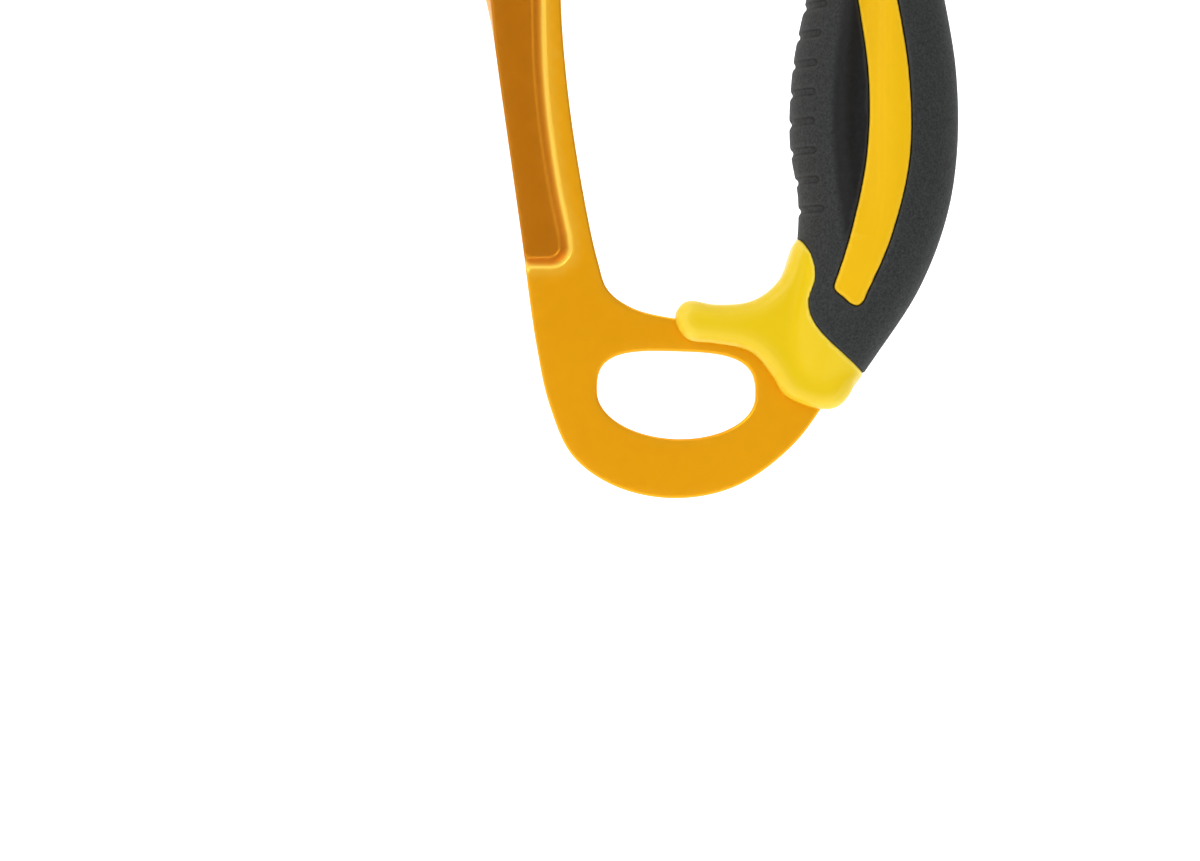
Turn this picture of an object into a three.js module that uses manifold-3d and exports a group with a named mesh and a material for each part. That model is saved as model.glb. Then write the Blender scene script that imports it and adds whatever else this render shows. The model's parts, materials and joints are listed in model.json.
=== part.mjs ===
// Handled rope ascender: a bent aluminium frame with a rope channel and a toothed cam at the top,
// a hand grip moulded on its right arm, and a connector hole at each end.
// Millimetres. Origin on the rope's axis at the cam's clamp point, +Z up the rope, +X towards the
// grip, +Y towards the back of the frame.
import * as THREE from 'three';
import { mergeVertices } from 'three/addons/utils/BufferGeometryUtils.js';
import Module from 'manifold-3d';

const wasm = await Module();
wasm.setup();

// Driving dimensions
const GAP = 0.3; // between fixed pieces
const PLATE_Y0 = 4; // front face of the 4 mm frame plate
const PLATE_Y1 = 8; // its back face
const SUNK = 3; // how far the rope groove is pressed back
const EDGE = 0.5; // broken edge of the plate
const ROPE = 11; // diameter of the rope the cam rests on
const WALL_X = -ROPE / 2; // inner face of the channel's side wall
const WALL = 4; // thickness of the channel's walls
const LIP_Y = -7; // inner face of the channel's front lip
const CHANNEL_TOP = 36;
const CHANNEL_BOTTOM = -54;
const UPPER_HOLE = { x: 28.5, z: 27.5, r: 7 };
const CAM = { x: 22, z: 9.5, y0: -5.5, y1: 3.5, hub: 8.5 };
const CAM_ANGLE = 30; // constant angle between the rope's normal and the cam's radius, degrees
const TOOTH = 1.6; // height of the cam's teeth
const CAM_SPRING = { r: 5.3, wire: 0.5, start: 210, turns: 2.75 };
const AXLE_R = 3.5;
const CATCH = { x: 25, z: -8.5, y0: -5.4, y1: -1.8, r: 5.6 };
const CATCH_AXLE_R = 1.5;
const CATCH_LEG = 100; // direction of the catch spring's leg in the cam, degrees
const GRIP_Y = 6; // middle plane of the grip, on the plate's middle plane
const SKIN = 2.3; // thickness of the soft skin
const WEB = 7.3; // half of the thickness of the guards' webs
const WEB_EDGE = 2.2; // their round edges
const RIB_PITCH = 5.17;
const RIB_FIRST = -108.1;
const RIB_COUNT = 9;

const rad = (degrees) => (degrees * Math.PI) / 180;

// ---- solids ----

function solid(geometry) {
  geometry.deleteAttribute('normal');
  geometry.deleteAttribute('uv');
  const merged = mergeVertices(geometry, 1e-5);
  const index = merged.index.array;
  return new wasm.Manifold(
    new wasm.Mesh({
      numProp: 3,
      vertProperties: new Float32Array(merged.attributes.position.array),
      triVerts: new Uint32Array(index),
    }),
  );
}

function signedArea(outline) {
  return outline.reduce((sum, [u, v], i) => {
    const [u2, v2] = outline[(i + 1) % outline.length];
    return sum + (u * v2 - u2 * v) / 2;
  }, 0);
}

// A closed solid from rings of equally many 3-D points. `cap` is the shape of its two ends.
function skin(rings, cap) {
  const n = rings[0].length;
  const triangles = [];
  for (let r = 0; r + 1 < rings.length; r++) {
    for (let i = 0; i < n; i++) {
      const j = (i + 1) % n;
      const a = r * n + i;
      const b = r * n + j;
      triangles.push([a, b, b + n], [a, b + n, a + n]);
    }
  }
  const faces = THREE.ShapeUtils.triangulateShape(cap.map(([u, v]) => new THREE.Vector2(u, v)), []);
  const last = (rings.length - 1) * n;
  for (const [a, b, c] of faces) {
    const same = signedArea([cap[a], cap[b], cap[c]]) * signedArea(cap) > 0;
    triangles.push(same ? [a, c, b] : [a, b, c]);
    triangles.push(same ? [last + a, last + b, last + c] : [last + a, last + c, last + b]);
  }
  const made = closed(rings.flat(2), triangles);
  return made.volume() > 0 ? made : closed(rings.flat(2), triangles.map(([a, b, c]) => [a, c, b]));
}

function closed(positions, triangles) {
  const geometry = new THREE.BufferGeometry();
  geometry.setAttribute('position', new THREE.Float32BufferAttribute(positions, 3));
  geometry.setIndex(triangles.flat());
  return solid(geometry);
}

// Moves a closed outline outwards by d, or inwards if d is negative.
function grow(outline, d) {
  const n = outline.length;
  const side = signedArea(outline) > 0 ? d : -d;
  return outline.map(([x, z], i) => {
    const [xa, za] = outline[(i + n - 1) % n];
    const [xb, zb] = outline[(i + 1) % n];
    const la = Math.hypot(x - xa, z - za);
    const lb = Math.hypot(xb - x, zb - z);
    let nx = (z - za) / la + (zb - z) / lb;
    let nz = -(x - xa) / la - (xb - x) / lb;
    const length = Math.hypot(nx, nz);
    nx /= length;
    nz /= length;
    const miter = Math.min(2, 2 / length);
    return [x + nx * side * miter, z + nz * side * miter];
  });
}

// A solid whose X-Z outline is given, from y0 to y1. Its edges are rounded by r in `steps` steps.
function slab(outline, y0, y1, r = 0, steps = 1) {
  const levels = [];
  if (r > 0) {
    for (let k = 0; k < steps; k++) {
      const a = (k / steps) * (Math.PI / 2);
      levels.push([y0 + r * (1 - Math.sin(a)), -r * (1 - Math.cos(a))]);
    }
    levels.reverse();
    levels.unshift([y0, -r]);
    const count = levels.length;
    for (let k = count - 1; k >= 0; k--) levels.push([y0 + y1 - levels[k][0], levels[k][1]]);
  } else {
    levels.push([y0, 0], [y1, 0]);
  }
  const rings = levels.map(([y, d]) => grow(outline, d).map(([x, z]) => [x, y, z]));
  return skin(rings, outline);
}

// A cutter for a hole with broken edges, through a wall from y0 to y1.
function cutter(outline, y0, y1, edge = EDGE) {
  const levels = [
    [y0 - 1, edge],
    [y0, edge],
    [y0 + edge, 0],
    [y1 - edge, 0],
    [y1, edge],
    [y1 + 1, edge],
  ];
  return skin(levels.map(([y, d]) => grow(outline, d).map(([x, z]) => [x, y, z])), outline);
}

function circle(x, z, r, n = 30) {
  const points = [];
  for (let i = 0; i < n; i++) {
    const a = (i / n) * 2 * Math.PI;
    points.push([x + r * Math.cos(a), z + r * Math.sin(a)]);
  }
  return points;
}

// A round bend from one angle to another, in degrees.
function arc(x, z, r, from, to, n) {
  const points = [];
  for (let i = 0; i <= n; i++) {
    const a = rad(from + ((to - from) * i) / n);
    points.push([x + r * Math.cos(a), z + r * Math.sin(a)]);
  }
  return points;
}

// A smooth open line through the points given.
function spline(points, count) {
  const path = points.map(([x, z]) => new THREE.Vector3(x, z, 0));
  const curve = new THREE.CatmullRomCurve3(path, false, 'centripetal');
  return curve.getSpacedPoints(count).map((p) => [p.x, p.y]);
}

// A smooth closed outline through the points given.
function smooth(points, count) {
  const path = points.map(([x, z]) => new THREE.Vector3(x, z, 0));
  const curve = new THREE.CatmullRomCurve3(path, true, 'centripetal');
  return curve.getSpacedPoints(count).slice(0, count).map((p) => [p.x, p.y]);
}

// A disc or ring about an axis along Y.
function disc(x, z, r, y0, y1, edge = 0, n = 30) {
  return slab(circle(x, z, r, n), y0, y1, edge, 1);
}

function block(x0, x1, y0, y1, z0, z1) {
  return slab([[x0, z0], [x1, z0], [x1, z1], [x0, z1]], y0, y1);
}

// A round wire along a path of 3-D points.
function wire(points, r, sides = 5) {
  const path = points.map((p) => new THREE.Vector3(...p));
  const rings = [];
  let up = new THREE.Vector3(0.3, 0.5, 0.81).normalize();
  path.forEach((p, i) => {
    const before = path[Math.max(0, i - 1)];
    const after = path[Math.min(path.length - 1, i + 1)];
    const along = after.clone().sub(before).normalize();
    up = up.clone().addScaledVector(along, -up.dot(along)).normalize();
    const side = along.clone().cross(up);
    const ring = [];
    for (let k = 0; k < sides; k++) {
      const a = (k / sides) * 2 * Math.PI;
      const q = p.clone().addScaledVector(up, r * Math.cos(a)).addScaledVector(side, r * Math.sin(a));
      ring.push([q.x, q.y, q.z]);
    }
    rings.push(ring);
  });
  return skin(rings, circle(0, 0, r, sides));
}

const union = (...parts) => parts.reduce((a, b) => a.add(b));

// The body without the slivers that a cut along a curved face can leave.
function largest(body) {
  return body.decompose().reduce((a, b) => (b.volume() > a.volume() ? b : a));
}

// ---- frame ----

// Outer outline of the plate, from the channel's top round the right side to the lower lobe.
const FRAME_OUTLINE = smooth(
  [
    [-8.8, 20], [-8.8, 30], [-3, 36], [17, 37.5], [28.5, 40], [37.3, 36.3], [41, 27.5],
    [38.2, 12], [38.2, -4], [44.8, -18], [55.4, -29.6], [64, -43], [69.4, -58], [72.6, -74],
    [74, -92], [72, -110], [64.8, -127.2], [57.2, -141], [50, -150.8], [40, -157.9],
    [29, -160], [18.5, -157.8], [11, -152.4], [6.9, -143.4], [4.6, -133], [1.8, -113],
    [-1.6, -89], [-4.7, -68], [-8, -51], [-8.8, -40], [-8.8, -10],
  ],
  120,
);

// The opening the hand goes into.
const HAND_OUTLINE = smooth(
  [
    [15.6, -118], [13.2, -107], [10.2, -87.4], [8.9, -68], [9.9, -53], [14.5, -41.7],
    [23, -34.4], [40, -31.1], [52.4, -37.6], [59.2, -51.2], [59.5, -67.5], [56.2, -86],
    [56.2, -101.5], [56.9, -113.4], [51.3, -123.4], [40.5, -128.6], [29.3, -127.9],
    [21.6, -126], [17.3, -122.8],
  ],
  76,
);

// The wide hole for connectors in the lower lobe: flat above, a half ellipse below.
const LOWER_HOLE = lowerHole(38);

function lowerHole(n) {
  const points = [];
  for (let i = 0; i < n; i++) {
    const a = (i / n) * 2 * Math.PI;
    const [c, s] = [Math.cos(a), Math.sin(a)];
    const power = s > 0 ? 0.62 : 1;
    const x = 14.1 * Math.sign(c) * Math.abs(c) ** power;
    const z = s > 0 ? 7.6 * s ** power : 8 * s;
    points.push([29.5 + x, -141.4 + z - 0.03 * x]);
  }
  return points;
}

// The rope groove: open at the top and at the left, with a round lower end.
const GROOVE_OUTLINE = [
  ...spline([[6.6, 50], [6, -70], [6.6, -87], [8.7, -103.3], [10.9, -114]], 16),
  ...arc(7.1, -115, 4, 0, -90, 6),
  [-14, -117],
  [-14, 50],
];

// The channel's back, side wall and front lip in the X-Y plane.
function channelSection() {
  const y0 = LIP_Y - WALL;
  const y1 = PLATE_Y1 + SUNK;
  const x0 = WALL_X - WALL;
  const outer = 6.5;
  const inner = 2.5;
  return [
    [2, y1],
    ...arc(x0 + outer, y1 - outer, outer, 90, 180, 6),
    ...arc(x0 + outer, y0 + outer, outer, 180, 270, 6),
    [1, y0],
    [1.8, y0 + 0.8],
    [1.8, LIP_Y - 0.8],
    [1, LIP_Y],
    ...arc(WALL_X + inner, LIP_Y + inner, inner, 270, 180, 4),
    ...arc(WALL_X + inner, y1 - WALL - inner, inner, 180, 90, 4),
    [2, y1 - WALL],
  ];
}

// What is cut from the channel: the lip's round corners and the wall's slanted ends.
function channelTrim() {
  const lip = smooth(
    [
      [-30, 28], [-11, 29], [-7, 30.6], [-1.4, 30], [1.2, 26], [1.9, 18], [1.9, -18],
      [0.6, -26], [-4, -31.2], [-10, -33.4], [-30, -34.5],
    ],
    56,
  );
  const lipKeep = slab(lip, -30, -4.4);
  const front = block(-30, 30, -30, -4.4, -90, 60);
  const below = [[-30, -34], [-11, -34], [2, -43], [8, -50], [11, -54.5], [11, -90], [-30, -90]];
  const above = [[-30, 31], [-11, 31], [-5, 32], [3, 35.4], [5, 36.2], [5, 90], [-30, 90]];
  const slopes = [below, above].map((outline) =>
    skin([-30, 2.5].map((x) => outline.map(([y, z]) => [x, y, z])), outline),
  );
  const top = [[-30, 28], [-9.6, 28], [-8.9, 32], [-6.6, 34.9], [-3, 35.9], [-3, 60], [-30, 60]];
  return union(front.subtract(lipKeep), ...slopes, slab(top, -30, 30));
}

function channel() {
  const section = channelSection();
  const rings = [CHANNEL_BOTTOM, CHANNEL_TOP].map((z) => section.map(([x, y]) => [x, y, z]));
  return skin(rings, section).subtract(channelTrim());
}

function frame() {
  const plate = slab(FRAME_OUTLINE, PLATE_Y0, PLATE_Y1, EDGE, 1);
  const boss = slab(grow(GROOVE_OUTLINE, 3), PLATE_Y1 - 0.5, PLATE_Y1 + SUNK, 1.5, 2);
  const spine = boss.intersect(slab(FRAME_OUTLINE, PLATE_Y0, PLATE_Y1 + SUNK, EDGE, 1));
  const groove = slab(GROOVE_OUTLINE, -20, PLATE_Y0 + SUNK);
  let body = plate.add(spine).subtract(groove).add(channel());
  body = body.subtract(cutter(HAND_OUTLINE, PLATE_Y0, PLATE_Y1));
  body = body.subtract(slab(grow(HAND_OUTLINE, EDGE), PLATE_Y1, 20));
  body = body.subtract(cutter(LOWER_HOLE, PLATE_Y0, PLATE_Y1, 0.8));
  const { x, z, r } = UPPER_HOLE;
  body = body.subtract(cutter(circle(x, z, r, 48), PLATE_Y0, PLATE_Y1));
  body = body.subtract(disc(CAM.x, CAM.z, 3.2 + GAP, PLATE_Y0 - 1, PLATE_Y1 + 1));
  return body.subtract(springHole(0.85));
}

// The space the grip's pieces leave round the plate.
function plateSlot() {
  const outer = slab(grow(FRAME_OUTLINE, GAP), PLATE_Y0 - GAP, PLATE_Y1 + GAP);
  return outer.subtract(slab(grow(HAND_OUTLINE, -GAP), PLATE_Y0 - 2, PLATE_Y1 + 2));
}

// ---- grip ----

// Sections of the handle from its top end to its bottom end: the finger-side point, the palm-side
// point and half of the thickness.
const GRIP_STATIONS = [
  [[43.4, -33.4], [49.9, -20.1], 7.4],
  [[50.2, -40.2], [61, -29.7], 9.7],
  [[55, -50.4], [69.7, -45], 11.4],
  [[54.6, -63], [75.4, -62], 12.4],
  [[52.7, -71], [77.3, -71], 12.5],
  [[50.3, -83.4], [79.4, -84], 12.5],
  [[49.8, -96.6], [79.6, -98], 12.5],
  [[51.3, -107], [77.7, -110], 12.3],
  [[50.8, -116.4], [72.8, -122.7], 11.6],
  [[48.1, -127.6], [64.6, -135.3], 10.1],
  [[47.6, -139.3], [59.2, -142.9], 8.2],
];
const RING = 22;

// Half of the thickness across a section, 0 at the finger side to 1 at the palm side. The hollow
// beside the stripe is where the fingertips end.
function thickness(u, hollow) {
  const body = (1 - Math.abs(2 * u - 1) ** 2.5) ** 0.42;
  return body - hollow * 0.15 * Math.exp(-(((u - 0.36) / 0.085) ** 2));
}

function handle(inset, count = 22) {
  const a = GRIP_STATIONS.map(([p]) => new THREE.Vector3(p[0], p[1], 0));
  const b = GRIP_STATIONS.map(([, p]) => new THREE.Vector3(p[0], p[1], 0));
  const h = GRIP_STATIONS.map(([, , t]) => new THREE.Vector3(t, 0, 0));
  const [inner, outer, half] = [a, b, h].map((p) => new THREE.CatmullRomCurve3(p, false, 'centripetal'));
  const rings = [];
  for (let i = 0; i <= count; i++) {
    const t = i / count;
    const p = inner.getPoint(t);
    const q = outer.getPoint(t);
    const along = q.clone().sub(p);
    const length = along.length();
    along.normalize();
    const depth = half.getPoint(t).x - inset;
    const hollow = Math.sin(Math.PI * Math.min(1, Math.max(0, (t - 0.2) / 0.55))) ** 0.7;
    const ring = [];
    for (let k = 0; k < RING; k++) {
      const angle = (k / RING) * 2 * Math.PI;
      const c = Math.cos(angle);
      const u = 0.5 - 0.5 * Math.sign(c) * Math.abs(c) ** 0.85;
      const y = Math.sign(Math.sin(angle)) * depth * thickness(u, hollow);
      const s = inset + u * (length - 2 * inset);
      ring.push([p.x + along.x * s, GRIP_Y - y, p.y + along.y * s]);
    }
    rings.push(ring);
  }
  return skin(rings, circle(0, 0, 1, RING));
}

// Where the soft skin meets the two hard guards.
const LOWER_BORDER = spline(
  [
    [68, -142], [60.9, -136.1], [53.9, -129.2], [52.7, -125.3], [53.9, -120.8], [53.2, -116.8],
    [51.2, -113.9], [46, -110],
  ],
  20,
);
const UPPER_BORDER = spline(
  [
    [50, -61.6], [54.6, -60.4], [57.4, -57.4], [57.7, -52.4], [60, -47.6], [67.4, -41.4],
    [74, -36.4],
  ],
  18,
);

function skinRegion(d) {
  const outline = [...LOWER_BORDER, ...UPPER_BORDER, [110, -36], [110, -142]];
  return slab(grow(outline, d), -20, 30);
}

// The band of hard plastic in the middle of each side.
const STRIPE_OUTLINE = smooth(
  [
    [59.5, -57.4], [62, -54.7], [65.2, -57], [68.7, -71], [71, -85.3], [71.1, -99.6],
    [67.7, -113.9], [63.2, -124.2], [61, -125.4], [58, -122.4], [60.4, -114], [63.6, -99.6],
    [64, -85.3], [62, -71],
  ],
  52,
);

function stripe(front) {
  const [y0, y1] = front ? [-20, GRIP_Y - 3] : [GRIP_Y + 3, 30];
  const column = slab(STRIPE_OUTLINE, y0, y1);
  return column.intersect(handle(0.25)).subtract(handle(SKIN));
}

// Grooves between the finger ribs.
function ribGrooves() {
  const cuts = [];
  for (let i = 0; i < RIB_COUNT; i++) {
    const z = RIB_FIRST + i * RIB_PITCH;
    const lean = 0.0058 * (z + 91) ** 2;
    cuts.push(block(40, 54.6 + lean, -20, 30, z - 0.75, z + 0.75));
  }
  return union(...cuts).subtract(handle(0.9));
}

function gripRubber() {
  const windows = slab(grow(STRIPE_OUTLINE, GAP), -20, 30);
  const hollow = handle(SKIN);
  const shell = handle(0).intersect(skinRegion(-GAP / 2)).subtract(hollow);
  return largest(shell.subtract(windows).subtract(ribGrooves()));
}

function gripCore() {
  let core = handle(SKIN + GAP).intersect(skinRegion(-GAP / 2)).subtract(plateSlot());
  for (const [x, z] of [[64.5, -68], [65.4, -82], [65.4, -96], [63.6, -110]]) {
    core = core.subtract(block(x - 6, x + 6, GRIP_Y - 7.4, GRIP_Y + 7.4, z - 5.4, z + 5.4));
  }
  return core;
}

// The guard's lip runs a little way along the plate on the hand's side of the lower hole.
const LOWER_WEB = smooth(
  [
    [51.2, -113.9], [47.9, -121], [43, -124.8], [36.4, -125.5], [31.2, -124.9], [29.2, -127.5],
    [31.3, -131.6], [36.4, -132.4], [42.7, -133.9], [46.6, -138.3], [48.6, -141.5],
    [54.1, -143.9], [57.8, -143.9], [60.6, -140.9], [61.4, -136], [57, -120],
  ],
  56,
);
const UPPER_WEB = smooth(
  [
    [55.6, -55.5], [54.4, -48.6], [48.6, -39], [40, -34.7], [31, -35.6], [27.4, -35.3],
    [26.7, -32], [30, -29.7], [41, -25.7], [48.4, -19.9], [51.2, -19.4], [58.3, -26.8],
    [66.4, -39.6], [66, -48], [60, -57],
  ],
  52,
);

function lowerGuard() {
  const web = slab(LOWER_WEB, GRIP_Y - WEB, GRIP_Y + WEB, WEB_EDGE, 3);
  const keep = skinRegion(GAP / 2);
  const below = block(0, 110, -20, 30, -170, -100);
  return largest(web.add(handle(0).intersect(below)).subtract(keep).subtract(plateSlot()));
}

function upperGuard() {
  const web = slab(UPPER_WEB, GRIP_Y - WEB, GRIP_Y + WEB, WEB_EDGE, 3);
  const keep = skinRegion(GAP / 2);
  const above = block(0, 110, -20, 30, -80, 60);
  return largest(web.add(handle(0).intersect(above)).subtract(keep).subtract(plateSlot()));
}

// ---- cam ----

// Radius of the tooth tips at an angle below the -X direction.
function camRadius(phi) {
  const reach = (CAM.x - ROPE / 2) / Math.cos(rad(CAM_ANGLE));
  return reach * Math.exp(Math.tan(rad(CAM_ANGLE)) * rad(phi - CAM_ANGLE));
}

function camPoint(phi, r) {
  return [CAM.x - r * Math.cos(rad(phi)), CAM.z - r * Math.sin(rad(phi))];
}

function camBody() {
  const face = [];
  for (let phi = 6; phi <= 68; phi += 4) face.push(camPoint(phi, camRadius(phi) - TOOTH));
  face.push([12.9, -16.2], [14.6, -16.9], [16.8, -16.4], [20.2, -14.6], [23.6, -13.9]);
  face.push([26, -13.9], [29.2, -12.2], [30.4, -9], [30.2, -4], [30.4, 8], [21, 17.9]);
  face.push([12, 13.6], [8.6, 10.8]);
  const body = slab(face, CAM.y0, CAM.y1, 0.6, 1);
  const hub = disc(CAM.x, CAM.z, CAM.hub, CAM.y0, CAM.y1, 0.6);
  return union(body, hub, disc(CATCH.x, CATCH.z, CATCH.r, CAM.y0, CAM.y1, 0.6));
}

// Rows of small conical teeth that lean down the rope.
function camTeeth() {
  const teeth = [];
  const columns = [-4.2, -2.05, 0.1, 2.25];
  for (let row = 0; row < 12; row++) {
    const phi = 11 + row * 4.9;
    const shifted = columns.slice(0, 3).map((y) => y + 1.07);
    for (const y of row % 2 ? shifted : columns) {
      const tip = camPoint(phi + 1.4, camRadius(phi + 1.4));
      const foot = camPoint(phi - 1.2, camRadius(phi) - TOOTH - 0.8);
      teeth.push(cone([foot[0], y, foot[1]], [tip[0], y, tip[1]], 1.02, 0.16));
    }
  }
  return union(...teeth);
}

function cone(from, to, r0, r1, sides = 5) {
  const a = new THREE.Vector3(...from);
  const b = new THREE.Vector3(...to);
  const along = b.clone().sub(a).normalize();
  const side = new THREE.Vector3(0, 1, 0);
  const up = along.clone().cross(side).normalize();
  const rings = [[a, r0], [b, r1]].map(([p, r]) => {
    const ring = [];
    for (let k = 0; k < sides; k++) {
      const t = (k / sides) * 2 * Math.PI;
      const q = p.clone().addScaledVector(side, r * Math.cos(t)).addScaledVector(up, r * Math.sin(t));
      ring.push([q.x, q.y, q.z]);
    }
    return ring;
  });
  return skin(rings, circle(0, 0, 1, sides));
}

function cam() {
  let body = camBody().add(camTeeth());
  const angles = [18, 26, 34, 42, 50];
  const outer = angles.map((phi) => camPoint(phi, camRadius(phi) - TOOTH - 3.4));
  const inner = angles.map((phi) => camPoint(phi, 10.6 + (phi - 18) * 0.07)).reverse();
  body = body.subtract(slab([...outer, ...inner], CAM.y0 - 1, CAM.y1 + 1));
  const slot = [camPoint(22, 12), camPoint(22, 20), camPoint(46, 26), camPoint(46, 14)];
  body = body.subtract(slab(slot, -2.2, 0.2));
  body = body.subtract(disc(CAM.x, CAM.z, 4.5 + GAP, CAM.y0 - 1, CAM.y1 + 1));
  body = body.subtract(disc(CAM.x, CAM.z, 6.9, -0.9, CAM.y1 + 1));
  body = body.subtract(legSlot(CAM.x, CAM.z, CAM_SPRING.start, 9.3, 1, -0.9, CAM.y1 + 1));
  body = body.subtract(disc(CATCH.x, CATCH.z, 7, CAM.y0 - 1, CATCH.y1 + GAP));
  body = body.subtract(disc(CATCH.x, CATCH.z, CATCH_AXLE_R + GAP, CAM.y0 - 1, CAM.y1 + 1, 0, 24));
  body = body.subtract(disc(CATCH.x, CATCH.z, 4.3, CATCH.y1, 1.2));
  body = body.subtract(disc(CATCH.x, CATCH.z, 3.6, 2.2, CAM.y1 + 1, 0, 24));
  return largest(body.subtract(legSlot(CATCH.x, CATCH.z, CATCH_LEG, 9, 0.65, CATCH.y1, 1.2)));
}

function camAxle() {
  const { x, z } = CAM;
  const head = disc(x, z, 6.2, -7.7, -6.3, 0.7);
  const shaft = disc(x, z, AXLE_R, -6.8, PLATE_Y0 - GAP, 0, 36);
  const shank = disc(x, z, 3.2, 3, PLATE_Y1 + 2);
  const tail = disc(x, z, 4.8, PLATE_Y1 + 1.5, PLATE_Y1 + 2.8, 0.6);
  return union(head, shaft, shank, tail);
}

function ring(x, z, r0, r1, y0, y1, edge = 0, n = 30) {
  return disc(x, z, r1, y0, y1, edge, n).subtract(disc(x, z, r0, y0 - 1, y1 + 1, 0, n));
}

// The turns of a wire wound about an axis along Y, from y0 to y1.
function coil(x, z, r, y0, y1, start, turns) {
  const points = [];
  const n = Math.round(turns * 14);
  for (let i = 0; i <= n; i++) {
    const a = rad(start + (360 * turns * i) / n);
    points.push([x + r * Math.cos(a), y0 + ((y1 - y0) * i) / n, z + r * Math.sin(a)]);
  }
  return points;
}

// Where the spring's end goes into the plate.
function springEnd() {
  const a = rad(CAM_SPRING.start + 360 * CAM_SPRING.turns + 14);
  return [CAM.x + CAM_SPRING.r * Math.cos(a), CAM.z + CAM_SPRING.r * Math.sin(a)];
}

function springHole(r) {
  const [x, z] = springEnd();
  return disc(x, z, r, PLATE_Y0 - 1, PLATE_Y1 + 1, 0, 16);
}

function camSpring() {
  const { r, start, turns } = CAM_SPRING;
  const a = rad(start);
  const leg = [8.6, 7].map((d) => [CAM.x + d * Math.cos(a), -0.2, CAM.z + d * Math.sin(a)]);
  const [x, z] = springEnd();
  const end = [3, 3.6, 6.8].map((y) => [x, y, z]);
  return wire([...leg, ...coil(CAM.x, CAM.z, r, -0.2, 2.7, start, turns), ...end], CAM_SPRING.wire);
}

// A straight slot for a spring's leg, pointing from (x, z) at an angle.
function legSlot(x, z, angle, length, half, y0, y1) {
  const [c, s] = [Math.cos(rad(angle)), Math.sin(rad(angle))];
  const corners = [[3, -half], [length, -half], [length, half], [3, half]];
  return slab(corners.map(([d, side]) => [x + d * c - side * s, z + d * s + side * c]), y0, y1);
}

// ---- safety catch ----

const LEVER_OUTLINE = smooth(
  [
    [19.6, -9.4], [20.8, -5.4], [24.2, -3.3], [28, -4], [30.4, -7], [31.2, -11], [32.6, -15],
    [34.6, -18.6], [34.4, -21.4], [31.8, -22.6], [29.2, -21], [27.4, -17.6], [25.4, -14.6],
    [21.8, -13.2],
  ],
  48,
);

const PAD_OUTLINE = smooth(
  [
    [30.2, -15.6], [33.4, -14.4], [36.4, -18.6], [36.6, -22.6], [33.4, -25.2], [29.4, -24],
    [27.6, -20.4],
  ],
  32,
);

function catchLever() {
  let lever = slab(LEVER_OUTLINE, CATCH.y0, CATCH.y1, 0.5, 1);
  lever = lever.subtract(disc(CATCH.x, CATCH.z, CATCH_AXLE_R + 0.06, -10, 5, 0, 36));
  const [x, z] = catchSpringEnd();
  return lever.subtract(disc(x, z, 0.7, -4, 5, 0, 12));
}

// The thumb pad is moulded round the lever's end, with ribs across its front.
function catchPad() {
  const sleeve = slab(PAD_OUTLINE, -8.4, 1.2, 1.4, 2);
  const pocket = slab(grow(LEVER_OUTLINE, GAP), CATCH.y0 - GAP, CATCH.y1 + GAP);
  let pad = sleeve.subtract(pocket);
  for (let i = 0; i < 3; i++) {
    const x = 31 + i * 1.1;
    const z = -17.6 - i * 2.2;
    const groove = [[x - 9, z - 4.5], [x + 9, z + 4.5], [x + 8.6, z + 5.3], [x - 9.4, z - 3.7]];
    pad = pad.subtract(slab(groove, -10, -7.8));
  }
  return pad;
}

// Where the spring's end goes into the lever.
function catchSpringEnd() {
  const a = rad(150);
  return [CATCH.x + 3 * Math.cos(a), CATCH.z + 3 * Math.sin(a)];
}

function catchSpring() {
  const a = rad(CATCH_LEG);
  const leg = [6.4, 5].map((d) => [CATCH.x + d * Math.cos(a), 0.7, CATCH.z + d * Math.sin(a)]);
  const [x, z] = catchSpringEnd();
  const end = [-1.4, -2, -3.6].map((y) => [x, y, z]);
  return wire([...leg, ...coil(CATCH.x, CATCH.z, 3, 0.7, -0.9, CATCH_LEG, 2.14), ...end], 0.32);
}

function catchAxle() {
  const head = disc(CATCH.x, CATCH.z, 3.1, -6.8, CATCH.y0 - 0.1, 0.5, 24);
  return head.add(disc(CATCH.x, CATCH.z, CATCH_AXLE_R, -6, CAM.y1 - 0.1, 0, 36));
}

// ---- the part ----

const LOOKS = {
  gold: { color: 0xe8a505, roughness: 0.35, metalness: 0.85 },
  yellow: { color: 0xf5d70a, roughness: 0.45, metalness: 0 },
  stripe: { color: 0xf2c60a, roughness: 0.4, metalness: 0 },
  nylon: { color: 0x2b2b2b, roughness: 0.6, metalness: 0 },
  rubber: { color: 0x3c4040, roughness: 0.85, metalness: 0 },
  steel: { color: 0xb8b8b8, roughness: 0.35, metalness: 0.9 },
  bronze: { color: 0xa8793a, roughness: 0.4, metalness: 0.8 },
  spring: { color: 0x8f9194, roughness: 0.3, metalness: 0.9 },
};

function mesh(name, body, look) {
  const { vertProperties, triVerts } = body.getMesh();
  const geometry = new THREE.BufferGeometry();
  geometry.setAttribute('position', new THREE.Float32BufferAttribute(vertProperties, 3));
  geometry.setIndex(Array.from(triVerts));
  geometry.computeVertexNormals();
  const made = new THREE.Mesh(geometry, new THREE.MeshStandardMaterial(LOOKS[look]));
  made.name = name;
  return made;
}

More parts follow.
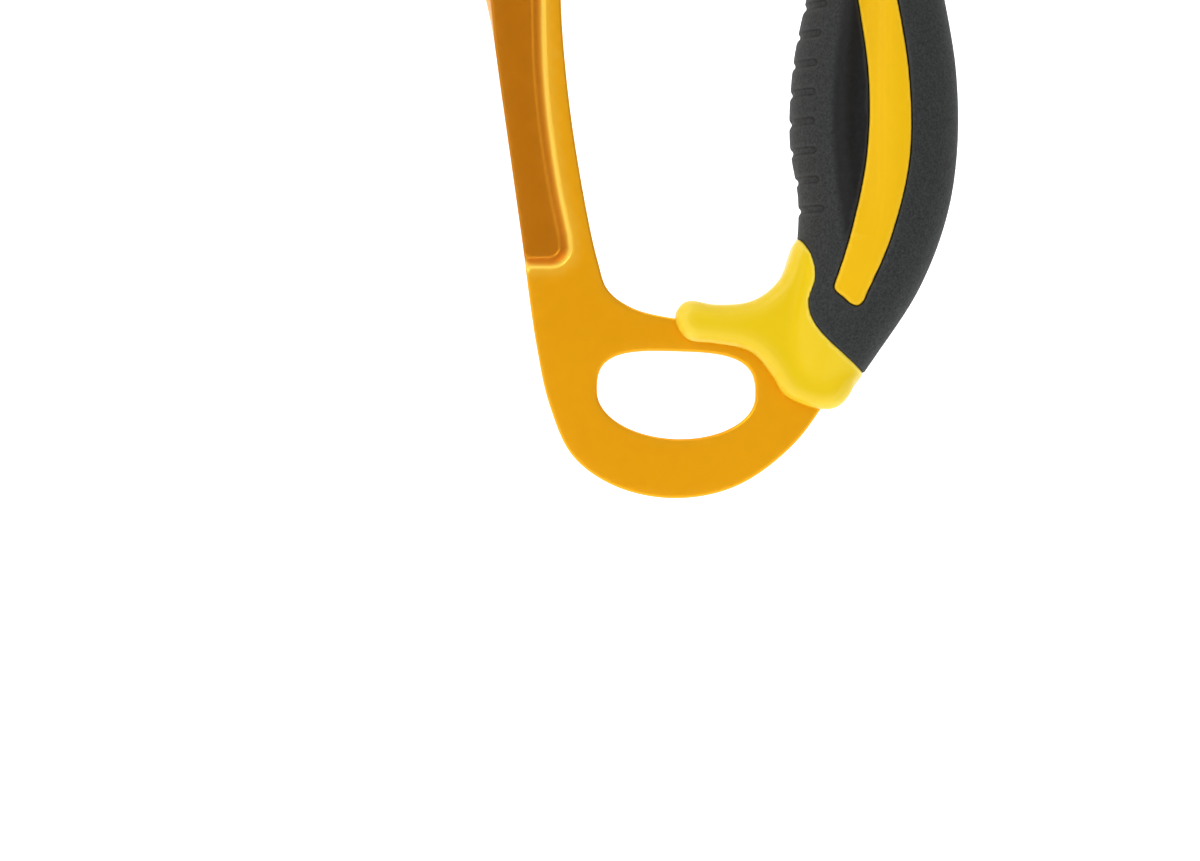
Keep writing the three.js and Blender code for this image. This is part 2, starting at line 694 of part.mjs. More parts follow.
const part = new THREE.Group();
part.name = 'rope_ascender';
part.add(
  mesh('frame', frame(), 'gold'),
  mesh('lower_guard', lowerGuard(), 'yellow'),
  mesh('upper_guard', upperGuard(), 'yellow'),
  mesh('grip_core', gripCore(), 'nylon'),
  mesh('grip_rubber', gripRubber(), 'rubber'),
  mesh('grip_stripe_front', stripe(true), 'stripe'),
  mesh('grip_stripe_back', stripe(false), 'stripe'),
  mesh('cam', cam(), 'steel'),
  mesh('cam_bush', ring(CAM.x, CAM.z, AXLE_R + 0.05, 4.5, CAM.y0, -0.9, 0, 36), 'bronze'),
  mesh('cam_axle', camAxle(), 'steel'),
  mesh('cam_washer', ring(CAM.x, CAM.z, AXLE_R + GAP, 7.2, -6.1, -5.7), 'steel'),
  mesh('cam_axle_ring', ring(CAM.x, CAM.z, 3.2 + GAP, 6.4, PLATE_Y1 + 0.2, PLATE_Y1 + 1.2, 0.2), 'steel'),
  mesh('cam_spring', camSpring(), 'spring'),
  mesh('catch_lever', catchLever(), 'steel'),
  mesh('catch_pad', catchPad(), 'nylon'),
  mesh('catch_axle', catchAxle(), 'steel'),
  mesh('catch_axle_ring', ring(CATCH.x, CATCH.z, CATCH_AXLE_R + 0.2, 3.2, 2.5, 3.3, 0, 24), 'steel'),
  mesh('catch_spring', catchSpring(), 'spring'),
);

export default part;
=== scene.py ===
import json
import math

import bmesh
import bpy
import numpy as np
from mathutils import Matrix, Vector
from mathutils.geometry import delaunay_2d_cdt


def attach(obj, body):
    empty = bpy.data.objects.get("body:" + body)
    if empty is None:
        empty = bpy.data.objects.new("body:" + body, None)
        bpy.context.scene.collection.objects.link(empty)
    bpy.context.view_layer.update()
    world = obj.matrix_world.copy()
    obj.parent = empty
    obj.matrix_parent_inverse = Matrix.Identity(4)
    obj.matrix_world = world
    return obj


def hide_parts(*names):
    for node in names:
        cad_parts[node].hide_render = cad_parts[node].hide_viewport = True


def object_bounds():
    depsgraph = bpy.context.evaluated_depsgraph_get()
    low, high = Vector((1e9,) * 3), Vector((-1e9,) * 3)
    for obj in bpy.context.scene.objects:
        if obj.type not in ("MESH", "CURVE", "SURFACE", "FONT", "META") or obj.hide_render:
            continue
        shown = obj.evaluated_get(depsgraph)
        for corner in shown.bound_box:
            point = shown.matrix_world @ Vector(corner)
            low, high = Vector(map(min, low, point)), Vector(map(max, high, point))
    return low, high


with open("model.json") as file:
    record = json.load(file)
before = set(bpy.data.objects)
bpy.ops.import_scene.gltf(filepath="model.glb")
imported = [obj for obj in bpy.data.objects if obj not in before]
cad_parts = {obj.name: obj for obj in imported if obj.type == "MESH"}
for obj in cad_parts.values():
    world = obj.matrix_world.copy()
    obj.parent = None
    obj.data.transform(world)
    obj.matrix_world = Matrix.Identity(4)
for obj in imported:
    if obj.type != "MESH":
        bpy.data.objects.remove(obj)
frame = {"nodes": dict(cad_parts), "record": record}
cad_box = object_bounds()

MM = 0.001
RECORD = frame["record"]
BODY_OF = {n: b for b, nodes in RECORD["behaviour"]["bodies"].items() for n in nodes}
SLOT_OF = {s["node"]: s["material_slot"] for s in RECORD["subparts"]}

# ---- sizes, as in the CAD ----
PLATE_MIDDLE = 6.0
PLATE = 4.0
SUNK = 3.0
GRIP_Y = 6.0
SKIN = 2.3
GAP = 0.3
WEB = 7.3  # half of the guards' thickness along the plate
RIB_PITCH = 5.17
RIB_COUNT = 9
CAM = (22.0, 9.5)
CATCH = (25.0, -8.5)

# ---- sizes of the looks alone ----
SEAM = 0.06  # between the skin and the guards
WINDOW_GAP = 0.2  # round the stripes
STRIPE_INSET = 0.25  # how far the stripes lie below the skin's surface
WEB_EDGE = 2.4
RIB_FIRST = -108.8
RIB_SLOT = 0.72  # half of a slot's height
RIB_DEPTH = 0.45
RIB_SLOPE = 0.3  # width of a slot's slanted side
REACH = (-20.0, 32.0)  # cutters reach from before the grip to behind it


# ---- lines ----
def through(points, t, closed=False):
    """Points on a smooth line through the given ones, at parameters t from 0 to 1."""
    p = np.array(points, float)
    n = len(p) if closed else len(p) - 1
    if closed:
        p = np.vstack([p[-1:], p, p[:2]])
    else:
        p = np.vstack([2 * p[:1] - p[1:2], p, 2 * p[-1:] - p[-2:-1]])
    at = np.clip(np.asarray(t, float) * n, 0, n - 1e-9)
    i = at.astype(int)
    w = (at - i)[:, None]
    p0, p1, p2, p3 = (p[i + k] for k in range(4))
    a, b, c = (np.sqrt(np.linalg.norm(q - r, axis=1))[:, None] for q, r in ((p1, p0), (p2, p1), (p3, p2)))
    m1 = ((p1 - p0) / a - (p2 - p0) / (a + b) + (p2 - p1) / b) * b
    m2 = ((p2 - p1) / b - (p3 - p1) / (b + c) + (p3 - p2) / c) * b
    return (
        (2 * w**3 - 3 * w**2 + 1) * p1
        + (w**3 - 2 * w**2 + w) * m1
        + (3 * w**2 - 2 * w**3) * p2
        + (w**3 - w**2) * m2
    )


def spline(points, step, closed=False):
    """A smooth line through the points, cut into equal steps of about the given length."""
    line = through(points, np.linspace(0, 1, 60 * len(points)), closed)
    along = np.concatenate([[0], np.cumsum(np.linalg.norm(np.diff(line, axis=0), axis=1))])
    count = max(3, round(along[-1] / step))
    at = np.linspace(0, along[-1], count + 1)
    line = np.column_stack([np.interp(at, along, line[:, k]) for k in range(line.shape[1])])
    return line[:-1] if closed else line


def arc(x, z, r, start, end, step=0.8):
    count = max(3, round(abs(math.radians(end - start)) * r / step))
    a = np.radians(np.linspace(start, end, count + 1))
    return np.column_stack([x + r * np.cos(a), z + r * np.sin(a)])


def circle(x, z, r, step=0.8):
    return arc(x, z, r, 0, 360, step)[:-1]


def grow(outline, d):
    """Moves an outline outwards by d."""
    before, after = np.roll(outline, 1, axis=0), np.roll(outline, -1, axis=0)
    x, z = outline[:, 0], outline[:, 1]
    turning = (x * np.roll(z, -1) - np.roll(x, -1) * z).sum()
    along = after - before
    along /= np.linalg.norm(along, axis=1)[:, None]
    return outline + np.sign(turning) * d * np.column_stack([along[:, 1], -along[:, 0]])


def distance(points, outline):
    """How far each point is inside a closed outline. Outside it is negative."""
    a, b = outline, np.roll(outline, -1, axis=0)
    ab = b - a
    found = []
    for p in np.array_split(points, max(1, len(points) // 2000)):
        p = p[:, None, :]
        t = np.clip(((p - a) * ab).sum(-1) / (ab**2).sum(-1), 0, 1)
        d = np.linalg.norm(p - a - t[..., None] * ab, axis=-1).min(1)
        spans = (a[:, 1] > p[..., 1]) != (b[:, 1] > p[..., 1])
        rise = np.where(ab[:, 1] == 0, 1, ab[:, 1])
        left = p[..., 0] < ab[:, 0] * (p[..., 1] - a[:, 1]) / rise + a[:, 0]
        inside = (spans & left).sum(1) % 2 == 1
        found.append(np.where(inside, d, -d))
    return np.concatenate(found)


def step_up(x):
    """0 below 0, 1 above 1, and a smooth rise between."""
    x = np.clip(x, 0, 1)
    return x * x * (3 - 2 * x)


# ---- meshes ----
def add_mesh(name, points, faces):
    mesh = bpy.data.meshes.new(name)
    mesh.from_pydata((np.asarray(points, float) * MM).tolist(), [], [list(map(int, f)) for f in faces])
    mesh.update()
    mesh.shade_smooth()
    obj = bpy.data.objects.new(name, mesh)
    bpy.context.scene.collection.objects.link(obj)
    return obj


def settle(obj):
    """Makes the modifiers' result the object's mesh."""
    graph = bpy.context.evaluated_depsgraph_get()
    mesh = bpy.data.meshes.new_from_object(obj.evaluated_get(graph))
    obj.modifiers.clear()
    obj.data = mesh
    return obj


def combine(obj, others, how):
    """Cuts, joins or crosses obj with each of the others, which are used up."""
    for other in others:
        cut = obj.modifiers.new("combine", "BOOLEAN")
        cut.operation = how
        cut.solver = "MANIFOLD"
        cut.object = other
        settle(obj)
        bpy.data.objects.remove(other)
    return obj


def soften(obj, voxel, rounds, strength=0.5):
    """Remeshes evenly and rounds every edge a little."""
    remesh = obj.modifiers.new("even", "REMESH")
    remesh.mode = "VOXEL"
    remesh.voxel_size = voxel * MM
    remesh.use_smooth_shade = True
    smooth = obj.modifiers.new("round", "SMOOTH")
    smooth.factor = strength
    smooth.iterations = rounds
    return settle(obj)


def keep_normals(obj):
    """Flat faces stay flat beside their narrow bevels."""
    weighted = obj.modifiers.new("flat", "WEIGHTED_NORMAL")
    weighted.mode = "FACE_AREA"
    weighted.weight = 80
    return settle(obj)


def loft(name, rings, closed_along=False):
    """A closed solid through rings of equally many points."""
    rings = np.asarray(rings, float)
    count, n = rings.shape[:2]
    faces = []
    for r in range(count if closed_along else count - 1):
        s = (r + 1) % count
        faces += [[r * n + i, r * n + (i + 1) % n, s * n + (i + 1) % n, s * n + i] for i in range(n)]
    if not closed_along:
        faces.append(list(range(n))[::-1])
        faces.append([(count - 1) * n + i for i in range(n)])
    obj = add_mesh(name, rings.reshape(-1, 3), faces)
    return face_out(obj)


def face_out(obj):
    """Turns every face to the outside."""
    work = bmesh.new()
    work.from_mesh(obj.data)
    bmesh.ops.recalc_face_normals(work, faces=work.faces)
    work.to_mesh(obj.data)
    work.free()
    return obj


def prism(outline, y0, y1):
    """A straight solid with an X-Z outline."""
    return loft("prism", [[(x, y, z) for x, z in outline] for y in (y0, y1)])


def grid(outline, spacing):
    """Points in rows over an outline's box."""
    lo, hi = outline.min(0), outline.max(0)
    xs, zs = (np.arange(lo[k] + spacing / 2, hi[k], spacing) for k in (0, 1))
    return np.array([(x + (j % 2) * spacing / 2, z) for j, z in enumerate(zs) for x in xs])


def fill(outline, holes, within, margin):
    """Triangles over an outline with holes, through the points given within it."""
    loops = [outline, *holes]
    clear = distance(within, outline) > margin
    for hole in holes:
        clear &= distance(within, hole) < -margin
    points = np.vstack([*loops, within[clear]])
    edges, start = [], 0
    for loop in loops:
        n = len(loop)
        edges += [(start + i, start + (i + 1) % n) for i in range(n)]
        start += n
    made, _, faces, _, _, _ = delaunay_2d_cdt([Vector(p) for p in points], edges, [], 0, 1e-7)
    made = np.array([tuple(p) for p in made])
    faces = np.array(faces)
    middle = made[faces].mean(1)
    inside = distance(middle, outline) > 0
    for hole in holes:
        inside &= distance(middle, hole) < 0
    faces = faces[inside]
    a, b, c = made[faces[:, 0]], made[faces[:, 1]], made[faces[:, 2]]
    turned = np.cross(b - a, c - a) < 0
    faces[turned] = faces[turned][:, ::-1]
    return made, faces


def rim(faces):
    """The directed edges that only one triangle has."""
    edges = {(int(a), int(b)) for f in faces for a, b in zip(f, np.roll(f, -1))}
    return [e for e in edges if (e[1], e[0]) not in edges]


def two_sided(name, front, back, faces):
    """A closed sheet from matching front and back points over the same triangles."""
    n = len(front)
    sides = [[b, a, a + n, b + n] for a, b in rim(faces)]
    return add_mesh(name, np.vstack([front, back]), [*faces, *(faces[:, ::-1] + n), *sides])


def lathe(name, profile, x, z, ring=False, segments=96):
    """A body turned about an axis along Y. Its profile is a list of (radius, y)."""
    a = np.linspace(0, 2 * math.pi, segments, endpoint=False)
    rings = [[(x + r * math.cos(t), y, z + r * math.sin(t)) for t in a] for r, y in profile]
    return loft(name, rings, closed_along=ring)


def tube(name, points, r, sides=20):
    """A round wire along a path."""
    path = np.asarray(points, float)
    along = np.gradient(path, axis=0)
    along /= np.linalg.norm(along, axis=1)[:, None]
    a = np.linspace(0, 2 * math.pi, sides, endpoint=False)
    up = np.array([0.3, 0.5, 0.81])
    rings = []
    for p, d in zip(path, along):
        up = up - d * (up @ d)
        up /= np.linalg.norm(up)
        side = np.cross(d, up)
        rings.append(p + r * (np.outer(np.cos(a), up) + np.outer(np.sin(a), side)))
    return loft(name, rings)


def copy_of(node):
    """A CAD node's shape as a new object."""
    obj = bpy.data.objects.new(node + "_copy", frame["nodes"][node].data.copy())
    bpy.context.scene.collection.objects.link(obj)
    work = bmesh.new()
    work.from_mesh(obj.data)
    bmesh.ops.remove_doubles(work, verts=work.verts, dist=1e-6)
    work.to_mesh(obj.data)
    work.free()
    return obj


def values(items, what, width, kind=float):
    """One property of every vertex or edge, as rows."""
    found = np.zeros(len(items) * width, kind)
    items.foreach_get(what, found)
    return found.reshape(-1, width)


def mark(obj, name, amount):
    """Stores an amount from 0 to 1 at every vertex, for the materials."""
    attribute = obj.data.attributes.new(name, "FLOAT", "POINT")
    attribute.data.foreach_set("value", np.clip(amount, 0, 1).astype(np.float32))


def mark_edges(obj, stands_out=0.04, rounds=6):
    """Marks the vertices that stand out of their surroundings by so many millimetres, where the materials
    paint a highlight.
    """
    here, normal = (values(obj.data.vertices, what, 3) for what in ("co", "normal"))
    a, b = values(obj.data.edges, "vertices", 2, np.int32).T
    n = len(here)
    joined = np.bincount(a, minlength=n) + np.bincount(b, minlength=n)
    flat = here.copy()
    for _ in range(rounds):
        around = [np.bincount(a, flat[b, k], n) + np.bincount(b, flat[a, k], n) for k in range(3)]
        flat = (flat + np.column_stack(around) / joined[:, None]) / 2
    mark(obj, "edge", ((here - flat) * normal).sum(1) / MM / stands_out)


def place(obj, name, node, stands_out=0.04):
    """obj stands for a CAD node, with its body, slot and material."""
    mark_edges(obj, stands_out)
    obj.name = name
    obj.data.name = name
    obj.data.materials.clear()
    obj.data.materials.append(LOOKS[SLOT_OF[node]])
    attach(obj, BODY_OF[node])
    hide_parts(node)
    return obj


# ---- materials ----
class Nodes:
    """A material's node tree, built with short calls."""

    def __init__(self, name):
        self.material = bpy.data.materials.new(name)
        self.material.use_nodes = True
        self.tree = self.material.node_tree
        self.shader = self.tree.nodes["Principled BSDF"]
        self.place = self.add("ShaderNodeTexCoord").outputs["Object"]

    def add(self, kind, **settings):
        node = self.tree.nodes.new(kind)
        for key, value in settings.items():
            setattr(node, key, value)
        return node

    def link(self, source, target):
        self.tree.links.new(source, target)

    def noise(self, per_mm, detail=2.0, stretch=None):
        """Noise whose grains are about 1 / per_mm millimetres across."""
        node = self.add("ShaderNodeTexNoise")
        node.inputs["Scale"].default_value = per_mm / MM
        node.inputs["Detail"].default_value = detail
        source = self.place
        if stretch:
            squeeze = self.add("ShaderNodeMapping")
            squeeze.inputs["Scale"].default_value = stretch
            self.link(source, squeeze.inputs["Vector"])
            source = squeeze.outputs["Vector"]
        self.link(source, node.inputs["Vector"])
        return node.outputs["Fac"]

    def spread(self, source, low, high, start=0.3, end=0.7):
        """Maps start..end of a value to low..high."""
        node = self.add("ShaderNodeMapRange")
        for key, value in zip(("From Min", "From Max", "To Min", "To Max"), (start, end, low, high)):
            node.inputs[key].default_value = value
        self.link(source, node.inputs["Value"])
        return node.outputs["Result"]

    def blend(self, amount, first, second):
        """A colour between two, each a colour or a socket."""
        node = self.add("ShaderNodeMix", data_type="RGBA")
        self.link(amount, node.inputs["Factor"])
        for key, value in (("A", first), ("B", second)):
            socket = [s for s in node.inputs if s.name == key and s.type == "RGBA"][0]
            if isinstance(value, tuple):
                socket.default_value = value
            else:
                self.link(value, socket)
        return [s for s in node.outputs if s.type == "RGBA"][0]

    def bump(self, source, height_mm, below=None):
        node = self.add("ShaderNodeBump")
        node.inputs["Strength"].default_value = 1.0
        node.inputs["Distance"].default_value = height_mm * MM
        self.link(source, node.inputs["Height"])
        if below:
            self.link(below, node.inputs["Normal"])
        return node.outputs["Normal"]

    def marked(self, name, most=1.0):
        """An amount stored by mark()."""
        stored = self.add("ShaderNodeAttribute", attribute_name=name)
        return self.spread(stored.outputs["Fac"], 0, most, 0, 1)


def srgb(r, g, b):
    """A colour from 0-255 values as they look on a screen."""
    def linear(v):
        v /= 255
        return v / 12.92 if v <= 0.04045 else ((v + 0.055) / 1.055) ** 2.4
    return (linear(r), linear(g), linear(b), 1.0)


def finish_material(n, colour, roughness, normal, **plain):
    n.link(colour, n.shader.inputs["Base Color"])
    n.link(roughness, n.shader.inputs["Roughness"])
    n.link(normal, n.shader.inputs["Normal"])
    for key, value in plain.items():
        n.shader.inputs[key.replace("_", " ")].default_value = value
    return n.material


def anodised_gold():
    n = Nodes("anodised_gold")
    colour = n.blend(n.spread(n.noise(0.02, 3), 0, 1), srgb(242, 166, 4), srgb(247, 173, 6))
    # Painted shade: the pressed groove's floor is coloured darker.
    colour = n.blend(n.marked("sunk", 1.0), colour, srgb(196, 117, 4))
    # Painted highlight along the groove's crest: a paler colour and less metal there.
    painted_crest_highlight = n.marked("painted_crest_highlight", 1.0)
    colour = n.blend(painted_crest_highlight, colour, srgb(250, 212, 80))
    # Painted highlight on edges that stand out.
    colour = n.blend(n.marked("edge", 0.45), colour, srgb(250, 215, 110))
    rough = n.spread(n.noise(0.5, 3), 0.36, 0.42)
    n.link(n.spread(painted_crest_highlight, 0.85, 0.35, 0, 1), n.shader.inputs["Metallic"])
    return finish_material(n, colour, rough, n.bump(n.noise(9, 2), 0.003))


def yellow_plastic():
    n = Nodes("yellow_plastic")
    colour = n.blend(n.spread(n.noise(0.03, 2), 0, 1), srgb(226, 191, 1), srgb(231, 198, 2))
    # Painted highlight on edges that stand out.
    colour = n.blend(n.marked("edge", 0.4), colour, srgb(250, 228, 110))
    rough = n.spread(n.noise(0.4, 2), 0.34, 0.42)
    return finish_material(
        n, colour, rough, n.bump(n.noise(6, 2), 0.002), IOR=1.48, Specular_IOR_Level=0.2,
        Subsurface_Weight=0.2, Subsurface_Scale=0.002, Subsurface_Radius=(1.0, 0.8, 0.1),
    )


def stripe_plastic():
    n = Nodes("stripe_plastic")
    colour = n.blend(n.spread(n.noise(0.02, 2), 0, 1), srgb(229, 177, 1), srgb(234, 184, 2))
    # Painted highlight on edges that stand out.
    colour = n.blend(n.marked("edge", 0.4), colour, srgb(250, 210, 60))
    rough = n.spread(n.noise(0.4, 2), 0.36, 0.44)
    return finish_material(n, colour, rough, n.bump(n.noise(7, 2), 0.002), IOR=1.48, Specular_IOR_Level=0.15)


def grip_rubber():
    n = Nodes("grip_rubber")
    colour = n.blend(n.spread(n.noise(2.6, 4), 0, 1, 0.35, 0.7), srgb(36, 37, 37), srgb(55, 57, 57))
    # Painted shade in the hollow beside the stripe.
    colour = n.blend(n.marked("channel"), colour, srgb(18, 18, 18))
    # Painted shadow on the sides of the slots between the finger ribs.
    colour = n.blend(n.marked("slot", 0.9), colour, srgb(14, 14, 14))
    # Painted highlight on the skin's edges that stand out.
    colour = n.blend(n.marked("edge", 0.25), colour, srgb(70, 72, 72))
    rough = n.spread(n.noise(1.2, 3), 0.7, 0.84)
    coarse = n.bump(n.noise(2.4, 3), 0.05)
    return finish_material(
        n, colour, rough, n.bump(n.noise(7, 2), 0.012, coarse), IOR=1.45, Specular_IOR_Level=0.3,
    )


def moulded(name, dark, light, edge, low=0.5, high=0.62):
    n = Nodes(name)
    colour = n.blend(n.spread(n.noise(1.5, 3), 0, 1), dark, light)
    # Painted highlight on edges that stand out, in the edge colour.
    colour = n.blend(n.marked("edge", 0.8), colour, edge)
    rough = n.spread(n.noise(0.8, 3), low, high)
    return finish_material(n, colour, rough, n.bump(n.noise(4, 3), 0.02), IOR=1.47)


def metal(name, dark, light, edge, low, high, grain=5, height=0.004, stretch=None):
    n = Nodes(name)
    colour = n.blend(n.spread(n.noise(0.3, 4, stretch), 0, 1), dark, light)
    # Painted highlight on edges that stand out, in the edge colour.
    colour = n.blend(n.marked("edge", 0.8), colour, edge)
    rough = n.spread(n.noise(0.9, 3, stretch), low, high)
    return finish_material(n, colour, rough, n.bump(n.noise(grain, 3, stretch), height), Metallic=1.0)


LOOKS = {
    "anodised_gold": anodised_gold(),
    "yellow_plastic": yellow_plastic(),
    "stripe_plastic": stripe_plastic(),
    "grip_rubber": grip_rubber(),
    "core_nylon": moulded("core_nylon", srgb(34, 34, 34), srgb(44, 44, 44), srgb(60, 60, 60)),
    "pad_plastic": moulded(
        "pad_plastic", srgb(30, 30, 31), srgb(42, 42, 43), srgb(70, 70, 70), 0.42, 0.55,
    ),
    "cam_steel": metal(
        "cam_steel", srgb(168, 168, 170), srgb(198, 198, 200), srgb(232, 232, 232), 0.34, 0.48,
    ),
    "axle_steel": metal(
        "axle_steel", srgb(180, 180, 182), srgb(205, 205, 206), srgb(240, 240, 240), 0.2, 0.32,
        grain=7, height=0.001, stretch=(1, 4, 1),
    ),
    "bush_bronze": metal(
        "bush_bronze", srgb(150, 108, 52), srgb(186, 138, 70), srgb(214, 170, 100), 0.4, 0.55,
    ),
    "spring_steel": metal(
        "spring_steel", srgb(150, 152, 156), srgb(188, 190, 194), srgb(225, 225, 228), 0.22, 0.34,
    ),
}


# ---- studio, in metres ----
SOFT_LIGHT = (-0.45, -0.4, 0.8)  # the side of the studio that is brightest
LIGHT_AIM = Vector((0.03, 0, -0.08))
IMAGE_WIDTH = 1200  # in the image's points
IMAGE_SCALE = 5.6  # points to the millimetre, at the plate's middle
CAMERA_DISTANCE = 0.7


def world_light():
    """Light from all round, brightest on one side."""
    world = bpy.data.worlds.new("studio")
    bpy.context.scene.world = world
    world.use_nodes = True
    tree = world.node_tree
    direction = tree.nodes.new("ShaderNodeTexCoord")
    towards = tree.nodes.new("ShaderNodeVectorMath")
    towards.operation = "DOT_PRODUCT"
    towards.inputs[1].default_value = SOFT_LIGHT
    ramp = tree.nodes.new("ShaderNodeMapRange")
    for key, value in (("From Min", -0.6), ("From Max", 0.8), ("To Min", 0.15), ("To Max", 0.64)):
        ramp.inputs[key].default_value = value
    tree.links.new(direction.outputs["Generated"], towards.inputs[0])
    tree.links.new(towards.outputs["Value"], ramp.inputs["Value"])
    tree.links.new(ramp.outputs["Result"], tree.nodes["Background"].inputs["Strength"])
    tree.nodes["Background"].inputs["Color"].default_value = (1, 1, 1, 1)


def sweep():
    """A pale floor below the part that bends up into a wall behind it."""
    low, _ = cad_box
    back, floor_z, bend = 0.9, low.z - 0.12, 0.35
    profile = [(-9.0, 0.0), (-0.3, 0.0), (back - bend, 0.0)]
    for a in np.radians(np.arange(6, 90, 6)):
        profile.append((back - bend + bend * math.sin(a), bend - bend * math.cos(a)))
    profile += [(back, bend), (back, 3.0)]
    points = [(x, y, floor_z + z) for y, z in profile for x in (-9.0, 9.0)]
    faces = [(2 * i, 2 * i + 1, 2 * i + 3, 2 * i + 2) for i in range(len(profile) - 1)]
    obj = add_mesh("studio_sweep", np.array(points) / MM, faces)
    paper = Nodes("studio_paper")
    paper.shader.inputs["Base Color"].default_value = (0.93, 0.93, 0.93, 1)
    paper.shader.inputs["Roughness"].default_value = 0.9
    split = paper.add("ShaderNodeSeparateXYZ")
    paper.link(paper.place, split.inputs[0])
    glow = paper.spread(split.outputs["Y"], 0, 1, -0.2, 0.3)
    paper.link(paper.blend(glow, (0.15, 0.15, 0.15, 1), (1, 1, 1, 1)), paper.shader.inputs["Emission Color"])
    paper.shader.inputs["Emission Strength"].default_value = 0.6
    obj.data.materials.append(paper.material)


def studio():
    world_light()
    bpy.context.scene.view_settings.view_transform = "Standard"
    sweep()
    area("key_light", (-0.5, -0.7, 0.4), 0.5, 3.2)
    area("fill_light", (0.65, -0.6, -0.05), 0.5, 0.15)
    area("top_light", (0.05, -0.05, 0.75), 0.6, 2.5)
    area("back_light", (0.25, 0.65, 0.3), 0.5, 0.3)


def area(name, place_m, size, power):
    """A square soft light that points at the part."""
    light = bpy.data.lights.new(name, "AREA")
    light.size = size
    light.energy = power
    obj = bpy.data.objects.new(name, light)
    bpy.context.scene.collection.objects.link(obj)
    obj.location = place_m
    obj.rotation_euler = (LIGHT_AIM - Vector(place_m)).to_track_quat("-Z", "Y").to_euler()


def camera():
    """Level, square to the plate, with the frame cropped at the hand's opening."""
    data = bpy.data.cameras.new("camera")
    view = bpy.data.objects.new("camera", data)
    bpy.context.scene.collection.objects.link(view)
    width = IMAGE_WIDTH / IMAGE_SCALE * MM
    data.sensor_width = 36
    data.lens = 36 * CAMERA_DISTANCE / width
    view.location = (0.0159, PLATE_MIDDLE * MM - CAMERA_DISTANCE, -0.1479)
    view.rotation_euler = (math.pi / 2, 0, 0)
    bpy.context.scene.camera = view


# ---- frame ----
# The sheet's outline with its bent channel laid flat to the left.
SHEET_OUTLINE = [
    (-3, 36), (17, 37.5), (28.5, 40), (37.3, 36.3), (41, 27.5), (38.2, 12), (38.2, -4),
    (44.8, -18), (55.4, -29.6), (64, -43), (69.4, -58), (72.6, -74), (74, -92), (72, -110),
    (64.8, -127.2), (57.2, -141), (50, -150.8), (40, -157.9), (29, -160), (18.5, -157.8),
    (11, -152.4), (6.9, -143.4), (4.6, -133), (1.8, -113), (-1.6, -89), (-4.7, -68),
    (-7.4, -57.5), (-10.5, -50.5), (-15, -44.5), (-19.5, -40.3), (-24, -36.5), (-28, -31),
    (-30.5, -24), (-30.9, -16), (-30.9, 18), (-30.4, 25), (-27.8, 29.6), (-23, 30.8),
    (-18, 31.4), (-12, 32.8), (-7, 34.9),
]
HAND_OUTLINE = [
    (15.6, -118), (13.2, -107), (10.2, -87.4), (8.9, -68), (9.9, -53), (14.5, -41.7),
    (23, -34.4), (40, -31.1), (52.4, -37.6), (59.2, -51.2), (59.5, -67.5), (56.2, -86),
    (56.2, -101.5), (56.9, -113.4), (51.3, -123.4), (40.5, -128.6), (29.3, -127.9),
    (21.6, -126), (17.3, -122.8),
]
BEND = 4.5  # radius of the sheet's middle in the channel's two bends
WALL = 9.0  # straight part of the channel's wall
BEND_X = -3.0  # where the first bend starts
RIM_STEP = 0.85  # other steps than this can fold the bevel where the rim runs round the bends
BEVEL = 0.5


def lower_hole():
    """An oval whose upper half is fuller than its lower one."""
    a = np.linspace(0, 2 * math.pi, 110, endpoint=False)
    c, s = np.cos(a), np.sin(a)
    power = np.where(s > 0, 0.62, 1.0)
    x = 14.1 * np.sign(c) * np.abs(c) ** power
    z = np.where(s > 0, 7.6 * np.abs(s) ** power, 8 * s)
    return spline(np.column_stack([29.5 + x, -141.4 + z - 0.03 * x])[::2], 0.8, True)


def groove_line():
    """The groove's right side and round lower end."""
    side = spline([(6.6, 60), (6, -70), (6.6, -87), (8.7, -103.3), (10.9, -114)], 1.0)
    end = [(x, -119) for x in np.arange(6.4, 0, -0.7)]
    return np.vstack([side[:-1], arc(6.9, -115, 4, 0, -90, 0.5), end])


GROOVE_LINE = groove_line()
GROOVE = np.vstack([GROOVE_LINE, [(-60, -119), (-60, 60)]])
GROOVE_EDGE = 2.6  # width of the pressed slope


def sunk(points):
    """1 in the pressed groove, 0 on the plate, with a slope between."""
    return step_up((distance(points, GROOVE) + 0.2) / GROOVE_EDGE)


def groove_crest(points):
    """How strongly a highlight is painted where the plate turns down into the groove: a narrow line in a
    wide one.
    """
    off = distance(points, GROOVE) - 0.35
    return 0.55 * np.exp(-(off / 0.4) ** 2) + 0.35 * np.exp(-(off / 1.4) ** 2)


def sheet_place(points):
    """The sheet's middle surface before the groove is pressed: flat, then round the channel."""
    u, z = points[:, 0], points[:, 1]
    s = np.maximum(BEND_X - u, 0)
    quarter = math.pi / 2 * BEND
    first = np.clip(s, 0, quarter) / BEND
    wall = np.clip(s - quarter, 0, WALL)
    second = np.clip(s - quarter - WALL, 0, quarter) / BEND
    lip = np.maximum(s - 2 * quarter - WALL, 0)
    x = np.maximum(u, BEND_X) - BEND * np.sin(first) + BEND * (1 - np.cos(second)) + lip
    y = PLATE_MIDDLE - BEND * (1 - np.cos(first)) - wall - BEND * np.sin(second)
    return np.column_stack([x, y, z])


def sheet_normal(points):
    """Points from the sheet's middle towards the cam's side."""
    e = 0.05
    du = sheet_place(points + (e, 0)) - sheet_place(points - (e, 0))
    dz = sheet_place(points + (0, e)) - sheet_place(points - (0, e))
    normal = np.cross(du, dz)
    return normal / np.linalg.norm(normal, axis=1)[:, None]


